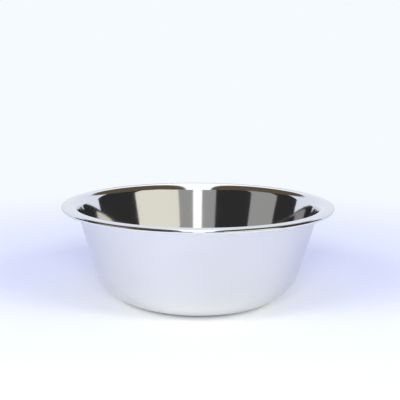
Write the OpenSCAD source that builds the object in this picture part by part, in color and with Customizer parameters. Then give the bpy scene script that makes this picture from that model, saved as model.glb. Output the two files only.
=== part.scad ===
// Shaving bowl: one stainless sheet drawn to a round bowl, with a flange that
// droops a little and a hollow rolled edge. Millimetres, +Z up, origin at the middle of the
// foot on the plane that it stands on. Every section below is in the plane
// [radius, height], and is turned round the Z axis.

/* [Size] */
// Diameter over the rolled edge
rim_d = 160; // [158:1:176]
// Height from the foot to the crown between bend and flange
height = 58.6; // [50:0.1:66]
// Diameter of the foot, where the bottom starts to rise
foot_d = 61.6; // [56:0.1:66]
// Thickness of the sheet
sheet_t = 0.6; // [0.5:0.05:0.7]

/* [Wall] */
// Outside radius of the shallow arc that rises from the foot
bottom_r = 35.5; // [30:0.5:40]
// Slope at which that arc gives way to the corner, in degrees
bottom_slope = 32; // [24:1:40]
// Outside radius of the corner between that arc and the wall
corner_r = 26.5; // [20:0.5:30]
// Outward lean of the straight wall, in degrees from upright
wall_lean = 16; // [12:0.5:18]

/* [Rim] */
// Radius of the bend from wall to flange, on its top face
bend_r = 5.5; // [3:0.1:7]
// Outward droop of the flange, in degrees from level
flange_droop = 6; // [1:0.5:8]
// Outside diameter of the rolled edge
curl_d = 2.4; // [1.8:0.05:2.8]

/* [Foot] */
// Width of the flat ring that it stands on
ring_w = 7; // [4:0.5:12]
// Rise of the dome inside that ring
dome_rise = 0.8; // [0.4:0.1:1.2]

/* [Hidden] */
$fn = 240;
// The dome's own circle is large, so it takes more sides
dome_fn = 2400;
// Each arc runs past both its ends by this length, so that neighbours join
lap = 0.0005;

rim_r = rim_d / 2;
foot_r = foot_d / 2;

// The corner's arc touches the bottom's arc from inside
corner_x = foot_r + (bottom_r - corner_r) * sin(bottom_slope);
corner_z = bottom_r - (bottom_r - corner_r) * cos(bottom_slope);

// The wall's outer face starts where the corner ends
wall_x = corner_x + corner_r * cos(wall_lean);
wall_z = corner_z - corner_r * sin(wall_lean);

// The bend's arc touches the wall and the flange
bend_under_r = bend_r - sheet_t;
bend_z = height - bend_r;
wall_rise = bend_z + bend_under_r * sin(wall_lean) - wall_z;
wall_run = wall_rise * tan(wall_lean);
bend_x = wall_x + wall_run + bend_under_r * cos(wall_lean);

// The rolled edge is a tube, open by a slit on its inner side. The flange's
// faces touch both the bend's arcs and the tube's.
curl_r = curl_d / 2;
curl_x = rim_r - curl_r;
curl_drop = ((curl_x - bend_x) * sin(flange_droop) - (bend_r - curl_r)) / cos(flange_droop);
curl_z = bend_z - curl_drop;
flange_l = (curl_x - bend_x) * cos(flange_droop) + curl_drop * sin(flange_droop);

// The dome is part of a sphere that rises from the ring's inner edge
ring_in_r = foot_r - ring_w;
dome_r = (pow(ring_in_r, 2) + pow(dome_rise, 2)) / (2 * dome_rise);
dome_z = dome_rise - dome_r;

// Sheet that follows an arc about [x, z], from angle a to angle b, with radii
// r_in and r_out. Angles are in degrees from the radius direction, towards +Z.
module arc_sheet(x, z, r_in, r_out, a, b) {
    reach = 2 * r_out;
    spill = lap / r_in * 180 / PI;
    mid = (a + b) / 2;
    translate([x, z])
        intersection() {
            difference() {
                circle(r = r_out);
                circle(r = r_in);
            }
            polygon([
                [0, 0],
                reach * [cos(a - spill), sin(a - spill)],
                reach * [cos(mid), sin(mid)],
                reach * [cos(b + spill), sin(b + spill)]
            ]);
        }
}

// Straight sheet whose outer face starts at [x, z] and climbs at that slope
module straight_sheet(x, z, slope, length) {
    translate([x, z])
        rotate(slope)
            square([length, sheet_t]);
}

// Disc inside the ring, with the sheet's thickness measured upright
module dome_sheet() {
    intersection() {
        square([ring_in_r, dome_rise + sheet_t]);
        difference() {
            translate([0, dome_z + sheet_t])
                circle(r = dome_r, $fn = dome_fn);
            translate([0, dome_z])
                circle(r = dome_r, $fn = dome_fn);
        }
    }
}

// Domed middle of the foot, and the flat ring round it
module foot_section() {
    dome_sheet();
    straight_sheet(ring_in_r, 0, 0, ring_w);
}

// Bottom, corner, leaning wall, and bend over to the flange
module wall_section() {
    corner_start = bottom_slope - 90;
    arc_sheet(foot_r, bottom_r, bottom_r - sheet_t, bottom_r, -90, corner_start);
    arc_sheet(corner_x, corner_z, corner_r - sheet_t, corner_r, corner_start, -wall_lean);
    straight_sheet(wall_x, wall_z, 90 - wall_lean, wall_rise / cos(wall_lean));
    arc_sheet(bend_x, bend_z, bend_under_r, bend_r, 90 - flange_droop, 180 - wall_lean);
}

// Flange, with the edge rolled under it
module rim_section() {
    under_x = bend_x + bend_under_r * sin(flange_droop);
    under_z = bend_z + bend_under_r * cos(flange_droop);
    straight_sheet(under_x, under_z, -flange_droop, flange_l);
    arc_sheet(curl_x, curl_z, curl_r - sheet_t, curl_r, -90, 90 - flange_droop);
    arc_sheet(curl_x, curl_z, curl_r - sheet_t, curl_r, 180, 270);
}

// The whole bowl is one sheet, so it is one solid
module bowl() {
    color("gainsboro")
        rotate_extrude()
            union() {
                foot_section();
                wall_section();
                rim_section();
            }
}

bowl();
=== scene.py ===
"""Looks of the shaving bowl: one sheet of stainless steel, polished inside and satin outside."""
import math

import bmesh
import bpy
from bpy.props import (
    FloatProperty,
    FloatVectorProperty,
    IntProperty,
    PointerProperty,
)
from mathutils import Matrix, Vector


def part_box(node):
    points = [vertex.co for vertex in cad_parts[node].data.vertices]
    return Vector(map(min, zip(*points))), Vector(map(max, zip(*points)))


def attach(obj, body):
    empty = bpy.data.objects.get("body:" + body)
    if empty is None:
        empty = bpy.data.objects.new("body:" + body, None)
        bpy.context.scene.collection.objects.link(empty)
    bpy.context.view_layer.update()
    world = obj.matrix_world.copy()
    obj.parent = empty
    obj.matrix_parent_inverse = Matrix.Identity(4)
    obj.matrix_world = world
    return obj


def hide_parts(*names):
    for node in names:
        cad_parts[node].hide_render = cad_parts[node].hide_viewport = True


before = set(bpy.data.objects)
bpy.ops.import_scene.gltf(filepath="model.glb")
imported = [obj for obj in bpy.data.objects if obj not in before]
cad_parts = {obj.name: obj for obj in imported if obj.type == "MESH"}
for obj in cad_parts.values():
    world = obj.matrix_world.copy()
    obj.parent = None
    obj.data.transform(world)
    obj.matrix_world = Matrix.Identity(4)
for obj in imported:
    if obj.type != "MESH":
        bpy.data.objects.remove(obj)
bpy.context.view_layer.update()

bl_info = {
    "name": "Shaving Bowl",
    "version": (1, 0, 0),
    "blender": (4, 5, 0),
    "location": "View3D > Sidebar > Shaving Bowl",
    "description": "Makes a drawn stainless steel shaving bowl and its studio",
    "category": "Add Mesh",
}

RIM_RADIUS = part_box("bowl")[1].x
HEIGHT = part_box("bowl")[1].z
MM = 0.001
MERGE_GAP = 0.001 * MM

# Depths of the finish, from the slight wave in the sheet down to the finest rings
WAVE_DEPTH = 0.12 * MM
CLOUD_DEPTH = 0.02 * MM
SATIN_RING_DEPTH = 0.002 * MM
POLISH_RING_DEPTH = 0.0009 * MM


# Settings

class BowlSettings(bpy.types.PropertyGroup):
    """Sizes and colours of the bowl. The rim and the height come from the bowl in model.glb."""

    sheet: FloatProperty(
        name="Sheet", description="Thickness of the steel sheet",
        default=0.6 * MM, min=0.5 * MM, max=0.7 * MM, precision=5, unit="LENGTH",
    )
    foot_radius: FloatProperty(
        name="Foot radius", description="Radius of the foot, where the bottom starts to rise",
        default=30.8 * MM, min=28 * MM, max=33 * MM, precision=5, unit="LENGTH",
    )
    bottom_radius: FloatProperty(
        name="Bottom radius", description="Outside radius of the shallow arc above the foot",
        default=35.5 * MM, min=30 * MM, max=40 * MM, precision=5, unit="LENGTH",
    )
    bottom_slope: FloatProperty(
        name="Bottom slope", description="Slope at which the bottom gives way to the corner",
        default=math.radians(32), min=math.radians(24), max=math.radians(40), subtype="ANGLE",
    )
    corner_radius: FloatProperty(
        name="Corner radius", description="Outside radius of the corner below the wall",
        default=26.5 * MM, min=20 * MM, max=30 * MM, precision=5, unit="LENGTH",
    )
    wall_lean: FloatProperty(
        name="Wall lean", description="Outward lean of the straight wall from upright",
        default=math.radians(16), min=math.radians(12), max=math.radians(18), subtype="ANGLE",
    )
    bend_radius: FloatProperty(
        name="Bend radius", description="Top radius of the bend from wall to flange",
        default=5.5 * MM, min=3 * MM, max=7 * MM, precision=5, unit="LENGTH",
    )
    flange_droop: FloatProperty(
        name="Flange droop", description="Outward droop of the flange from level",
        default=math.radians(6), min=math.radians(1), max=math.radians(8), subtype="ANGLE",
    )
    roll: FloatProperty(
        name="Roll", description="Outside diameter of the rolled edge",
        default=2.4 * MM, min=1.8 * MM, max=2.8 * MM, precision=5, unit="LENGTH",
    )
    ring_width: FloatProperty(
        name="Ring width", description="Width of the flat ring that the bowl stands on",
        default=7 * MM, min=4 * MM, max=12 * MM, precision=5, unit="LENGTH",
    )
    dome_rise: FloatProperty(
        name="Dome rise", description="Rise of the dome inside the ring",
        default=0.8 * MM, min=0.4 * MM, max=1.2 * MM, precision=5, unit="LENGTH",
    )
    turn_steps: IntProperty(
        name="Turn steps", description="Faces round the bowl", default=288, min=64, max=320,
    )
    steel: FloatVectorProperty(
        name="Steel", description="Colour of the polished inside",
        subtype="COLOR", size=3, min=0, max=1, default=(0.78, 0.78, 0.79),
    )
    # The satin tone is the steel's colour with a slight painted blue cast, a painted reflection
    # of the cool fill light.
    satin_tone_and_painted_blue: FloatVectorProperty(
        name="Satin tone", description="Colour of the satin outside",
        subtype="COLOR", size=3, min=0, max=1, default=(0.77, 0.77, 0.795),
    )
    polish: FloatProperty(
        name="Polish", description="Roughness of the polished inside",
        default=0.07, min=0, max=1, subtype="FACTOR",
    )
    satin: FloatProperty(
        name="Satin", description="Roughness of the satin outside",
        default=0.34, min=0, max=1, subtype="FACTOR",
    )


class StudioSettings(bpy.types.PropertyGroup):
    """Floor, lights and camera."""

    paper: FloatVectorProperty(
        name="Paper", description="Colour of the paper floor",
        subtype="COLOR", size=3, min=0, max=1, default=(0.90, 0.90, 0.90),
    )
    backdrop: FloatVectorProperty(
        name="Backdrop", description="Colour behind the bowl",
        subtype="COLOR", size=3, min=0, max=2, default=(0.915, 0.955, 0.99),
    )
    ceiling: FloatVectorProperty(
        name="Ceiling", description="Colour of the dark ceiling in the mirror",
        subtype="COLOR", size=3, min=0, max=1, default=(0.12, 0.095, 0.058),
    )
    room_floor: FloatVectorProperty(
        name="Room floor", description="Colour of the floor beyond the paper in the mirror",
        subtype="COLOR", size=3, min=0, max=1, default=(0.22, 0.22, 0.20),
    )
    strip_light: FloatVectorProperty(
        name="Strip light", description="Colour of the long light overhead in the mirror",
        subtype="COLOR", size=3, min=0, max=4, default=(1.3, 1.35, 1.4),
    )
    fill: FloatVectorProperty(
        name="Fill", description="Cool light from all round that fills the shadows",
        subtype="COLOR", size=3, min=0, max=2, default=(0.33, 0.38, 0.73),
    )
    side_power: FloatProperty(
        name="Side softboxes", description="Power of each softbox at the side, in watts",
        default=6.2, min=0, max=500,
    )
    side_tint: FloatVectorProperty(
        name="Side tint", description="Warm colour of the softboxes at the side",
        subtype="COLOR", size=3, min=0, max=1, default=(1.0, 1.0, 0.7),
    )
    front_power: FloatProperty(
        name="Front softbox", description="Power of the low softbox in front, in watts",
        default=29.0, min=0, max=500,
    )
    front_tint: FloatVectorProperty(
        name="Front tint", description="Colour of the low softbox in front",
        subtype="COLOR", size=3, min=0, max=1, default=(0.95, 0.97, 1.0),
    )
    lens: FloatProperty(
        name="Lens", description="Focal length in millimetres on a 36 mm wide sensor",
        default=72.76, min=35, max=200,
    )


# Bowl

def arc_on(bm, point, centre, angle, steps):
    """Carries the section on from point, clockwise about centre, given as radius and height."""
    spun = bmesh.ops.spin(
        bm,
        geom=[point],
        cent=(centre[0], 0, centre[1]),
        axis=(0, 1, 0),
        angle=angle,
        steps=steps,
    )
    return next(g for g in spun["geom_last"] if isinstance(g, bmesh.types.BMVert))


def line_on(bm, point, radius, height, steps):
    """Carries the section on from point in a straight line."""
    step = (Vector((radius, 0, height)) - point.co) / steps
    for _ in range(steps):
        point = bmesh.ops.extrude_vert_indiv(bm, verts=[point])["verts"][0]
        bmesh.ops.translate(bm, verts=[point], vec=step)
    return point


def draw_section(bm, size):
    """The sheet's polished face, from the middle of the foot out to the rolled edge."""
    sheet, slope = size.sheet, size.bottom_slope
    lean, droop = size.wall_lean, size.flange_droop

    ring = size.foot_radius - size.ring_width
    dome = (ring**2 + size.dome_rise**2) / (2 * size.dome_rise)
    point = bmesh.ops.create_vert(bm, co=(0, 0, size.dome_rise + sheet))["vert"][0]
    dome_centre = (0, size.dome_rise + sheet - dome)
    point = arc_on(bm, point, dome_centre, math.asin(ring / dome), steps=12)
    point = line_on(bm, point, size.foot_radius, sheet, steps=3)

    bottom = Vector((size.foot_radius, size.bottom_radius))
    downhill = Vector((math.sin(slope), -math.cos(slope)))
    corner = bottom + (size.bottom_radius - size.corner_radius) * downhill
    point = arc_on(bm, point, bottom, -slope, steps=14)
    point = arc_on(bm, point, corner, -(math.pi / 2 - lean - slope), steps=18)

    bend_height = HEIGHT - size.bend_radius
    touch = bend_height + size.bend_radius * math.sin(lean)
    radius = point.co.x + (touch - point.co.z) * math.tan(lean)
    point = line_on(bm, point, radius, touch, steps=14)
    bend = (radius + size.bend_radius * math.cos(lean), bend_height)
    point = arc_on(bm, point, bend, math.pi / 2 - lean + droop, steps=24)

    roll = size.roll / 2
    roll_centre = RIM_RADIUS - roll
    start = roll_centre + roll * math.sin(droop)
    fall = (start - point.co.x) * math.tan(droop)
    point = line_on(bm, point, start, point.co.z - fall, steps=4)
    centre = (roll_centre, point.co.z - roll * math.cos(droop))
    arc_on(bm, point, centre, 3 * math.pi / 2 - droop, steps=30)


def make_bowl(size, materials):
    """Turns the section round the axis, then gives the sheet its thickness."""
    bm = bmesh.new()
    draw_section(bm, size)
    bmesh.ops.spin(
        bm,
        geom=bm.verts[:] + bm.edges[:],
        cent=(0, 0, 0),
        axis=(0, 0, 1),
        angle=math.tau,
        steps=size.turn_steps,
        use_merge=True,
    )
    bmesh.ops.remove_doubles(bm, verts=bm.verts[:], dist=MERGE_GAP)
    bmesh.ops.recalc_face_normals(bm, faces=bm.faces[:])
    polished = set(bm.faces)
    bmesh.ops.solidify(bm, geom=bm.faces[:], thickness=size.sheet)
    for face in bm.faces:
        face.smooth = True
        face.material_index = 0 if face in polished else 1
    mesh = bpy.data.meshes.new("shaving_bowl")
    bm.to_mesh(mesh)
    bm.free()
    for material in materials:
        mesh.materials.append(material)
    bowl = bpy.data.objects.new("shaving_bowl", mesh)
    bpy.context.scene.collection.objects.link(bowl)
    return bowl


# Materials

def add(tree, kind, feeds=(), **traits):
    """Adds a node and fills its sockets with values or links, in order or by name from a dict."""
    made = tree.nodes.new("ShaderNode" + kind)
    for trait, value in traits.items():
        setattr(made, trait, value)
    pairs = feeds.items() if isinstance(feeds, dict) else enumerate(feeds)
    for key, feed in pairs:
        if isinstance(feed, bpy.types.NodeSocket):
            tree.links.new(feed, made.inputs[key])
        else:
            made.inputs[key].default_value = feed
    return made


def math_on(tree, operation, *feeds):
    """One Math node's result."""
    return add(tree, "Math", feeds, operation=operation).outputs[0]


def spread(tree, value, low, high, to_low=0.0, to_high=1.0):
    """Value carried smoothly from low..high to to_low..to_high."""
    feeds = (value, low, high, to_low, to_high)
    return add(tree, "MapRange", feeds, interpolation_type="SMOOTHSTEP").outputs[0]


def noise(tree, vector, scale, detail=2.0, roughness=0.5):
    """Smooth noise from 0 to 1."""
    feeds = {"Vector": vector, "Scale": scale, "Detail": detail, "Roughness": roughness}
    return add(tree, "TexNoise", feeds).outputs[0]


def lathe_vector(tree, place, along, around):
    """A vector that changes fast along the section and slowly round the axis."""
    x, y, z = add(tree, "SeparateXYZ", (place,)).outputs
    flat = add(tree, "CombineXYZ", (x, y, 0.0)).outputs[0]
    radius = add(tree, "VectorMath", (flat,), operation="LENGTH").outputs["Value"]
    way = add(tree, "VectorMath", (flat,), operation="NORMALIZE").outputs[0]
    way_x, way_y, _ = add(tree, "SeparateXYZ", (way,)).outputs
    run = math_on(tree, "ADD", radius, z)
    return add(tree, "CombineXYZ", (
        math_on(tree, "MULTIPLY", run, along),
        math_on(tree, "MULTIPLY", way_x, around),
        math_on(tree, "MULTIPLY", way_y, around),
    )).outputs[0]


def bump_on(tree, height, distance, normal=None):
    """A bump of that height in metres, on top of another one if it is given."""
    feeds = {"Strength": 1.0, "Distance": distance, "Height": height}
    if normal is not None:
        feeds["Normal"] = normal
    return add(tree, "Bump", feeds).outputs[0]


def steel_material(name, tone, anisotropy):
    """Bare steel, with its object coordinates ready for the finish."""
    material = bpy.data.materials.new(name)
    material.use_nodes = True
    tree = material.node_tree
    shader = tree.nodes["Principled BSDF"]
    shader.inputs["Metallic"].default_value = 1.0
    shader.inputs["Base Color"].default_value = (*tone, 1.0)
    shader.inputs["Anisotropic"].default_value = anisotropy
    place = add(tree, "TexCoord").outputs["Object"]
    return material, tree, shader, place


def polished_steel(size):
    """Mirror polish with faint rings from the polishing wheel and a slight wave in the sheet."""
    material, tree, shader, place = steel_material("polished_steel", size.steel, anisotropy=0.0)
    haze = noise(tree, place, scale=40.0, detail=4.0, roughness=0.6)
    wheel = lathe_vector(tree, place, along=1400.0, around=3.0)
    rings = noise(tree, wheel, scale=1.0, detail=3.0, roughness=0.6)
    wave = noise(tree, place, scale=26.0, detail=1.0)
    rough = spread(tree, haze, 0.3, 0.8, to_low=size.polish, to_high=1.5 * size.polish)
    tree.links.new(rough, shader.inputs["Roughness"])
    normal = bump_on(tree, wave, WAVE_DEPTH)
    normal = bump_on(tree, rings, POLISH_RING_DEPTH, normal)
    tree.links.new(normal, shader.inputs["Normal"])
    return material


def satin_steel(size):
    """Satin outside: fine rings, cloudy polish and faint wide smudges, on a tone with a slight
    painted blue reflection of the cool fill light.
    """
    name, tone = "satin_steel", size.satin_tone_and_painted_blue
    material, tree, shader, place = steel_material(name, tone, anisotropy=0.45)
    tangent = add(tree, "Tangent", direction_type="RADIAL", axis="Z").outputs[0]
    tree.links.new(tangent, shader.inputs["Tangent"])
    clouds = noise(tree, place, scale=45.0, detail=4.0, roughness=0.6)
    brush = lathe_vector(tree, place, along=900.0, around=5.0)
    rings = noise(tree, brush, scale=1.0, detail=4.0, roughness=0.7)
    smudges = noise(tree, place, scale=18.0, detail=1.0)
    rough = spread(tree, clouds, 0.2, 0.8, to_low=0.9 * size.satin, to_high=1.1 * size.satin)
    tree.links.new(rough, shader.inputs["Roughness"])
    shade = spread(tree, smudges, 0.3, 0.7, to_low=1.0, to_high=0.94)
    colour = add(tree, "VectorMath", (tuple(tone),), operation="SCALE")
    tree.links.new(shade, colour.inputs["Scale"])
    tree.links.new(colour.outputs[0], shader.inputs["Base Color"])
    normal = bump_on(tree, clouds, CLOUD_DEPTH)
    normal = bump_on(tree, rings, SATIN_RING_DEPTH, normal)
    tree.links.new(normal, shader.inputs["Normal"])
    return material


# Studio

# Plain studio boards round the bowl, as (azimuth in degrees from the camera's side
# towards +X where each starts, colour up to the next one).
BACKDROP = (0.86, 0.90, 1.00)
BLACK_FLAG = (0.03, 0.03, 0.03)
GREY_BOARD = (0.35, 0.35, 0.34)
CREAM_BOARD = (0.90, 0.88, 0.75)
STRIP_BOX = (1.4, 1.4, 1.4)
BOARDS = (
    (-180, BACKDROP),
    (-120, BLACK_FLAG),
    (-90, GREY_BOARD),
    (-60, BLACK_FLAG),
    (-20, GREY_BOARD),
    (-5, STRIP_BOX),
    (5, GREY_BOARD),
    (20, CREAM_BOARD),
    (70, BLACK_FLAG),
    (120, BACKDROP),
)
# How far the boards' edges waver, in radians
BOARD_WAVER = 0.05

# Heights of a mirrored direction, 0 at the horizon and 1 straight up, between which
# the boards give way to the dark ceiling. The ceiling comes lower behind the bowl, and
# lower still in front, within these turns of the camera's side in radians.
CEILING_EDGE = (0.58, 0.64)
CEILING_FALL_BEHIND = 0.10
CEILING_FALL_IN_FRONT = 0.18
FRONT_TURNS = (0.35, 0.87)
HORIZON = (-0.02, 0.02)

# The strip light overhead, in the same terms. It widens towards the camera's side.
STRIP_HALF_WIDTH = 0.15
STRIP_WIDENING = -0.06
STRIP_SOFT_EDGE = 0.015
STRIP_START = (0.42, 0.50)

# The paper lies just under the bowl, and turns into the backdrop between two radii
FLOOR_RADIUS = 0.9
FLOOR_GAP = 0.02 * MM
FLOOR_FADE = (0.12, 0.42)

# Softboxes, as (width, height) and where they stand. The side one is on the right,
# and its twin on the left.
SIDE_SOFTBOX = (0.5, 0.5)
SIDE_PLACE = (0.75, -0.65, 0.55)
FRONT_SOFTBOX = (1.0, 0.5)
FRONT_PLACE = (0, -2.0, 0.8)

# The camera rises from a level just under the bowl's crown
CAMERA_DISTANCE = 6 * RIM_RADIUS
CAMERA_LEVEL = HEIGHT - 0.6 * MM
CAMERA_RISE = math.radians(10)
CAMERA_PITCH = math.radians(9.78)
CAMERA_YAW = math.radians(0.139)
CAMERA_ROLL = math.radians(0.395)


def board_bands(tree, way, azimuth):
    """The boards' colours all round, with slightly wavering edges."""
    waver = noise(tree, way, scale=7.0, detail=3.0)
    waver = math_on(tree, "MULTIPLY_ADD", waver, BOARD_WAVER, -BOARD_WAVER / 2)
    turn = math_on(tree, "ADD", azimuth, waver)
    share = add(tree, "MapRange", (turn, -math.pi, math.pi, 0.0, 1.0)).outputs[0]
    bands = add(tree, "ValToRGB", (share,))
    ramp = bands.color_ramp
    ramp.interpolation = "CONSTANT"
    while len(ramp.elements) > 1:
        ramp.elements.remove(ramp.elements[-1])
    for number, (start, colour) in enumerate(BOARDS):
        place = (start + 180) / 360
        stop = ramp.elements.new(place) if number else ramp.elements[0]
        stop.position = place
        stop.color = (*colour, 1.0)
    return bands.outputs[0]


def ceiling_share(tree, y, z, azimuth):
    """1 where the ceiling is mirrored, and 0 where the boards are."""
    turn = math_on(tree, "ABSOLUTE", azimuth)
    front = spread(tree, turn, *FRONT_TURNS, to_low=CEILING_FALL_IN_FRONT, to_high=0.0)
    behind = math_on(tree, "MULTIPLY_ADD", y, CEILING_FALL_BEHIND, z)
    return spread(tree, math_on(tree, "ADD", behind, front), *CEILING_EDGE)


def strip_share(tree, x, y, z):
    """1 where the strip light is mirrored, and 0 elsewhere."""
    width = math_on(tree, "MULTIPLY_ADD", y, STRIP_WIDENING, STRIP_HALF_WIDTH)
    inside = math_on(tree, "SUBTRACT", width, math_on(tree, "ABSOLUTE", x))
    across = spread(tree, inside, -STRIP_SOFT_EDGE, STRIP_SOFT_EDGE)
    return math_on(tree, "MULTIPLY", across, spread(tree, z, *STRIP_START))


def paint_world(studio):
    """A plain pale surround for the camera and the floor, and studio boards for the mirror."""
    world = bpy.data.worlds.new("studio_room")
    bpy.context.scene.world = world
    world.use_nodes = True
    tree = world.node_tree
    tree.nodes.clear()
    way = add(tree, "TexCoord").outputs["Generated"]
    x, y, z = add(tree, "SeparateXYZ", (way,)).outputs
    azimuth = math_on(tree, "ARCTAN2", x, math_on(tree, "MULTIPLY", y, -1.0))
    below = spread(tree, z, *HORIZON, to_low=1.0, to_high=0.0)
    room = board_bands(tree, way, azimuth)
    for share, colour in (
        (ceiling_share(tree, y, z, azimuth), studio.ceiling),
        (below, studio.room_floor),
        (strip_share(tree, x, y, z), studio.strip_light),
    ):
        room = add(tree, "MixRGB", (share, room, (*colour, 1.0))).outputs[0]
    plain = add(tree, "Background", ((*studio.backdrop, 1.0), 1.0)).outputs[0]
    fill = add(tree, "Background", ((*studio.fill, 1.0), 1.0)).outputs[0]
    mirrored = add(tree, "Background", (room, 1.0)).outputs[0]
    rays = add(tree, "LightPath").outputs
    seen = add(tree, "MixShader", (rays["Is Camera Ray"], fill, plain)).outputs[0]
    both = add(tree, "MixShader", (rays["Is Glossy Ray"], seen, mirrored)).outputs[0]
    add(tree, "OutputWorld", (both,))


def make_floor(studio):
    """A wide round sheet of paper that turns into the backdrop's own tone far from the bowl."""
    bm = bmesh.new()
    bmesh.ops.create_circle(bm, cap_ends=True, segments=96, radius=FLOOR_RADIUS)
    bmesh.ops.translate(bm, verts=bm.verts[:], vec=(0, 0, -FLOOR_GAP))
    mesh = bpy.data.meshes.new("paper_floor")
    bm.to_mesh(mesh)
    bm.free()
    material = bpy.data.materials.new("paper")
    material.use_nodes = True
    tree = material.node_tree
    shader = tree.nodes["Principled BSDF"]
    shader.inputs["Base Color"].default_value = (*studio.paper, 1.0)
    shader.inputs["Roughness"].default_value = 0.9
    shader.inputs["Specular IOR Level"].default_value = 0.0
    glow = add(tree, "Emission", ((*studio.backdrop, 1.0), 1.0))
    place = add(tree, "TexCoord").outputs["Object"]
    radius = add(tree, "VectorMath", (place,), operation="LENGTH").outputs["Value"]
    far = spread(tree, radius, *FLOOR_FADE)
    both = add(tree, "MixShader", (far, shader.outputs[0], glow.outputs[0]))
    tree.links.new(both.outputs[0], tree.nodes["Material Output"].inputs["Surface"])
    mesh.materials.append(material)
    floor = bpy.data.objects.new("paper_floor", mesh)
    bpy.context.scene.collection.objects.link(floor)


def add_softbox(name, power, tint, size, place):
    """A rectangular softbox at place that faces the bowl, and that the steel doesn't mirror."""
    data = bpy.data.lights.new(name, "AREA")
    data.shape = "RECTANGLE"
    data.size, data.size_y = size
    data.energy = power
    data.color = tint
    light = bpy.data.objects.new(name, data)
    light.visible_glossy = False
    light.location = place
    light.rotation_euler = (-Vector(place)).to_track_quat("-Z", "Y").to_euler()
    bpy.context.scene.collection.objects.link(light)


def place_camera(studio):
    """Three rim diameters away, looking down at the rim by about ten degrees."""
    data = bpy.data.cameras.new("camera")
    data.sensor_width = 36
    data.lens = studio.lens
    data.dof.use_dof = False
    data.clip_start = 0.01
    camera = bpy.data.objects.new("camera", data)
    back = CAMERA_DISTANCE * math.cos(CAMERA_RISE)
    up = CAMERA_DISTANCE * math.sin(CAMERA_RISE)
    camera.matrix_world = (
        Matrix.Translation((0, -back, CAMERA_LEVEL + up))
        @ Matrix.Rotation(-CAMERA_YAW, 4, "Z")
        @ Matrix.Rotation(math.pi / 2 - CAMERA_PITCH, 4, "X")
        @ Matrix.Rotation(CAMERA_ROLL, 4, "Z")
    )
    bpy.context.scene.collection.objects.link(camera)
    bpy.context.scene.camera = camera


# Operators

class BOWL_OT_make_bowl(bpy.types.Operator):
    """Make the bowl from one sheet of stainless steel"""

    bl_idname = "shaving_bowl.make_bowl"
    bl_label = "Make Bowl"

    def execute(self, context):
        size = context.scene.shaving_bowl
        bowl = make_bowl(size, (polished_steel(size), satin_steel(size)))
        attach(bowl, "root")
        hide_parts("bowl")
        return {"FINISHED"}


class BOWL_OT_make_studio(bpy.types.Operator):
    """Make the paper floor, the surround, the lights and the camera"""

    bl_idname = "shaving_bowl.make_studio"
    bl_label = "Make Studio"

    def execute(self, context):
        studio = context.scene.shaving_bowl_studio
        context.scene.view_settings.view_transform = "Standard"
        paint_world(studio)
        make_floor(studio)
        out, back, up = SIDE_PLACE
        side = studio.side_power, studio.side_tint, SIDE_SOFTBOX
        front = studio.front_power, studio.front_tint, FRONT_SOFTBOX
        add_softbox("softbox_left", *side, (-out, back, up))
        add_softbox("softbox_right", *side, (out, back, up))
        add_softbox("softbox_front", *front, FRONT_PLACE)
        place_camera(studio)
        return {"FINISHED"}


class BOWL_PT_panel(bpy.types.Panel):
    """Lists the bowl's sizes and the steps that make it"""

    bl_idname = "BOWL_PT_panel"
    bl_label = "Shaving Bowl"
    bl_space_type = "VIEW_3D"
    bl_region_type = "UI"
    bl_category = "Shaving Bowl"

    def draw(self, context):
        layout = self.layout
        for settings in (context.scene.shaving_bowl, context.scene.shaving_bowl_studio):
            column = layout.column(align=True)
            for name in settings.__annotations__:
                column.prop(settings, name)
        layout.operator(BOWL_OT_make_bowl.bl_idname)
        layout.operator(BOWL_OT_make_studio.bl_idname)


CLASSES = (
    BowlSettings,
    StudioSettings,
    BOWL_OT_make_bowl,
    BOWL_OT_make_studio,
    BOWL_PT_panel,
)


def register():
    for cls in CLASSES:
        bpy.utils.register_class(cls)
    bpy.types.Scene.shaving_bowl = PointerProperty(type=BowlSettings)
    bpy.types.Scene.shaving_bowl_studio = PointerProperty(type=StudioSettings)


def unregister():
    del bpy.types.Scene.shaving_bowl_studio
    del bpy.types.Scene.shaving_bowl
    for cls in reversed(CLASSES):
        bpy.utils.unregister_class(cls)


def main():
    register()
    bpy.ops.shaving_bowl.make_bowl()
    bpy.ops.shaving_bowl.make_studio()


if __name__ == "__main__":
    main()
